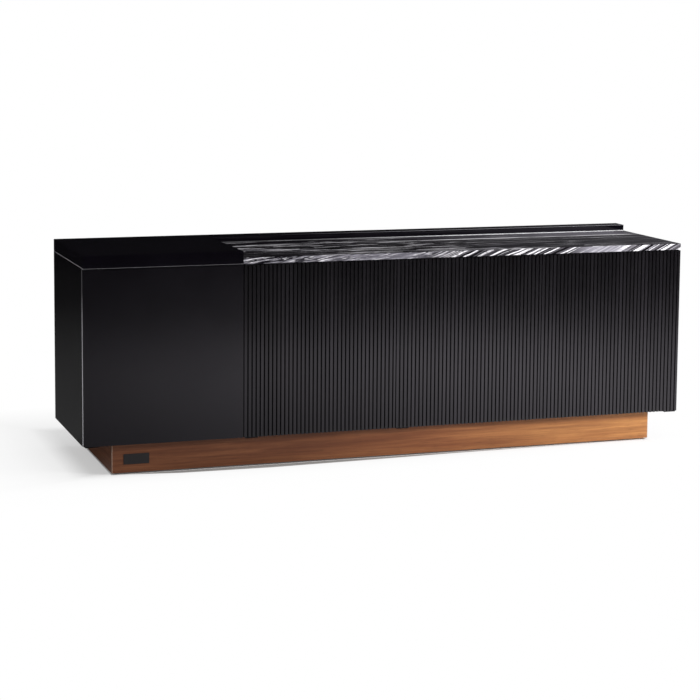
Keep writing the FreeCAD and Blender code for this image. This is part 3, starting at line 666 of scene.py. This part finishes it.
# How much of its own white the camera's floor has: all of it away from the object, and little
# in its shadow, which these four keep where the photo has it.
LEFT_LEVELS = [(-1.60, 1.0), (-1.30, 0.93), (-1.16, 0.86), (-1.10, 0.80), (-1.04, 0.74),
               (-1.00, 0.54), (-0.96, 0.42)]
RIGHT_LEVELS = [(0.86, 0.0), (0.92, 0.93), (1.10, 1.0)]
BACK_LEVELS = [(0.40, 0.0), (0.55, 0.75), (0.90, 1.0)]
FORWARD_LEVELS = [(-0.60, 1.0), (-0.36, 0.97), (-0.27, 0.86), (-0.21, 0.60), (-0.14, 0.12)]

# The floor that counts as under the plinth, which goes a little past its front and back.
COVERED_HALF = (0.910, 0.212)

# The painted contact shadow in front of the plinth: how far it reaches, at places along the length.
CONTACT_WIDTHS = [(-0.88, 0.0), (-0.70, 0.030), (-0.41, 0.038), (-0.10, 0.027), (0.24, 0.012),
                  (0.58, 0.005), (0.84, 0.0)]
CONTACT_FADE = 5.0 * MM
CONTACT_LEAST = 2.0 * MM
CONTACT_LIMIT = -0.5
SHADED_SHARE = 0.05


def seen_directly(g):
    """1 for camera, glossy and transmission rays, 0 for light that bounces."""
    path = g.node("LightPath")
    return g.maths("MAXIMUM", path.outputs["Is Camera Ray"], path.outputs["Is Glossy Ray"],
                   path.outputs["Is Transmission Ray"])


def floor_material():
    """White paper with the object's shadow, and a painted contact shadow in front of the plinth.
    Reflections see it brightest at the front right.
    """
    g = material_graph("studio_floor")
    along, across, _ = g.axes()
    path = g.node("LightPath")
    reflected = g.maths("MULTIPLY", g.profile(along, ALONG_LEVELS),
                        g.profile(across, FRONT_LEVELS), FLOOR_PEAK)
    reflected = g.maths("ADD", reflected, g.profile(across, BEHIND_LEVELS))
    strength = g.mix_number(path.outputs["Is Camera Ray"], reflected, 1.0)
    white = g.node("Emission", {"Color": WHITE, "Strength": strength})

    half_length, half_depth = COVERED_HALF
    covered = g.maths("MULTIPLY", inside(g, across, -half_depth, half_depth),
                      inside(g, along, -half_length, half_length))
    width = g.profile(along, CONTACT_WIDTHS)
    contact = g.remap(g.maths("ADD", width, half_depth, across), 0.0, CONTACT_FADE)
    contact = g.maths("MULTIPLY", contact, inside(g, across, CONTACT_LIMIT, -half_depth),
                      g.maths("GREATER_THAN", width, CONTACT_LEAST))
    share = g.maths("MAXIMUM", g.profile(along, LEFT_LEVELS), g.profile(along, RIGHT_LEVELS),
                    g.profile(across, BACK_LEVELS), g.profile(across, FORWARD_LEVELS))
    share = g.mix_number(g.maths("MAXIMUM", covered, contact), share, SHADED_SHARE)
    share = g.maths("MAXIMUM", share, path.outputs["Is Glossy Ray"])
    paper = g.node("BsdfDiffuse", {"Color": g.mix(contact, PAPER, CONTACT_SHADOW_TONE)})
    factor = g.maths("MULTIPLY", seen_directly(g), share)
    return g.show(g.node("MixShader", {"Fac": factor, 1: paper, 2: white}))


def studio_floor():
    mesh = bpy.data.meshes.new("studio_floor")
    mesh.from_pydata([(-FLOOR_HALF, -FLOOR_HALF, 0), (FLOOR_HALF, -FLOOR_HALF, 0),
                      (FLOOR_HALF, FLOOR_HALF, 0), (-FLOOR_HALF, FLOOR_HALF, 0)],
                     [], [(0, 1, 2, 3)])
    mesh.materials.append(floor_material())
    floor = bpy.data.objects.new("studio_floor", mesh)
    scene.collection.objects.link(floor)


studio_floor()

# ---------------------------------------------------------------- tent

TENT_RADIUS = 5.0
TENT_HEIGHT = 4.0
TENT_SIDES = 48
CLOTH = (0.92, 0.90, 1.0, 1)
CLOTH_LEVEL = 0.006

# The cloth's two glows: each is the product of a share by depth and a strength by length, and
# the front one's also of a share by height.
BACK_SHARE = [(0.5, 0.0), (1.5, 1.0)]
BACK_GLOW = [(1.4, 0.0), (2.2, 0.018), (3.0, 0.06)]
FRONT_SHARE = [(-2.5, 1.0), (-1.5, 0.0)]
FRONT_GLOW = [(1.4, 0.0), (2.2, 0.12), (2.9, 0.60), (3.3, 0.85)]
FRONT_HEIGHTS = [(0.75, 0.0), (1.1, 1.0), (2.6, 1.0), (3.0, 0.0)]


def tent_material():
    """Dark cloth with a faint glow at the back right and a soft one at the front right."""
    g = material_graph("dark_tent")
    along, across, height = g.axes()
    back = g.maths("MULTIPLY", g.profile(across, BACK_SHARE), g.profile(along, BACK_GLOW))
    front = g.maths("MULTIPLY", g.profile(across, FRONT_SHARE), g.profile(along, FRONT_GLOW),
                    g.profile(height, FRONT_HEIGHTS))
    glow = g.maths("ADD", back, front, CLOTH_LEVEL)
    return g.show(g.node("Emission", {"Color": CLOTH, "Strength": glow}))


def dark_tent():
    """A drum round the set that shapes what the lacquer reflects. The camera doesn't see it."""
    angles = [2 * math.pi * step / TENT_SIDES for step in range(TENT_SIDES)]
    points = [(TENT_RADIUS * math.cos(angle), TENT_RADIUS * math.sin(angle), level)
              for level in (0.0, TENT_HEIGHT) for angle in angles]
    faces = [(n, (n + 1) % TENT_SIDES, TENT_SIDES + (n + 1) % TENT_SIDES, TENT_SIDES + n)
             for n in range(TENT_SIDES)]
    faces.append(tuple(range(TENT_SIDES, 2 * TENT_SIDES)))
    mesh = bpy.data.meshes.new("dark_tent")
    mesh.from_pydata(points, [], faces)
    mesh.materials.append(tent_material())
    tent = bpy.data.objects.new("dark_tent", mesh)
    scene.collection.objects.link(tent)
    tent.visible_camera = False
    tent.visible_diffuse = False
    tent.visible_shadow = False
    tent.visible_transmission = False


dark_tent()

# ---------------------------------------------------------------- light

AMBIENT = 0.33

# Each lamp's size, place and target in metres, and its power in watts.
LAMPS = {
    "overhead": ((3.6, 2.4), (0.2, -0.5, 3.0), (0.0, 0.0, 0.3), 62),
    "key": ((0.6, 0.6), (1.95, -1.95, 1.30), (0.6, -0.2, 0.30), 68),
    "left_strip": ((0.35, 1.1), (-2.3, -0.6, 1.0), (-1.0, -0.1, 0.5), 7),
}


def studio_world():
    """White where it's seen directly, and a plain weaker light on everything."""
    g = Graph(bpy.data.worlds.new("studio"), "OutputWorld")
    level = g.remap(seen_directly(g), 0.0, 1.0, AMBIENT, 1.0)
    return g.show(g.node("Background", {"Color": WHITE, "Strength": level}))


def lamp(name, size, place, target, power):
    """A soft rectangle of light that only the surfaces see."""
    data = bpy.data.lights.new(name, "AREA")
    data.shape = "RECTANGLE"
    data.size, data.size_y = size
    data.energy = power
    made = bpy.data.objects.new(name, data)
    scene.collection.objects.link(made)
    made.location = place
    facing = Vector(target) - Vector(place)
    made.rotation_euler = facing.to_track_quat("-Z", "Y").to_euler()
    made.visible_camera = False
    made.visible_glossy = False


scene.world = studio_world()
for name, settings in LAMPS.items():
    lamp(name, *settings)

# ---------------------------------------------------------------- camera

CAMERA_PLACE = Vector((-2.135, -6.036, 1.391))
CAMERA_YAW = math.radians(18.84)
CAMERA_PITCH = math.radians(6.54)
CAMERA_ROLL = math.radians(0.46)
CAMERA_LENS = 101.56
CAMERA_SENSOR = 36.0
CAMERA_SHIFT = -0.15
CAMERA_REACH = 200.0


def photo_camera():
    """The photo's viewpoint: it looks along +Y, turned right by the yaw and down by the pitch."""
    flat = math.cos(CAMERA_PITCH)
    view = Vector((math.sin(CAMERA_YAW) * flat, math.cos(CAMERA_YAW) * flat,
                   -math.sin(CAMERA_PITCH)))
    right = Vector((math.cos(CAMERA_YAW), -math.sin(CAMERA_YAW), 0.0))
    up = right.cross(view)
    rolled_right = right * math.cos(CAMERA_ROLL) + up * math.sin(CAMERA_ROLL)
    rolled_up = up * math.cos(CAMERA_ROLL) - right * math.sin(CAMERA_ROLL)
    turn = Matrix((rolled_right, rolled_up, -view)).transposed()
    data = bpy.data.cameras.new("camera")
    data.lens = CAMERA_LENS
    data.sensor_width = CAMERA_SENSOR
    data.shift_y = CAMERA_SHIFT
    data.clip_end = CAMERA_REACH
    camera = bpy.data.objects.new("camera", data)
    scene.collection.objects.link(camera)
    camera.matrix_world = Matrix.Translation(CAMERA_PLACE) @ turn.to_4x4()
    return camera


scene.camera = photo_camera()
scene.view_settings.view_transform = "Standard"
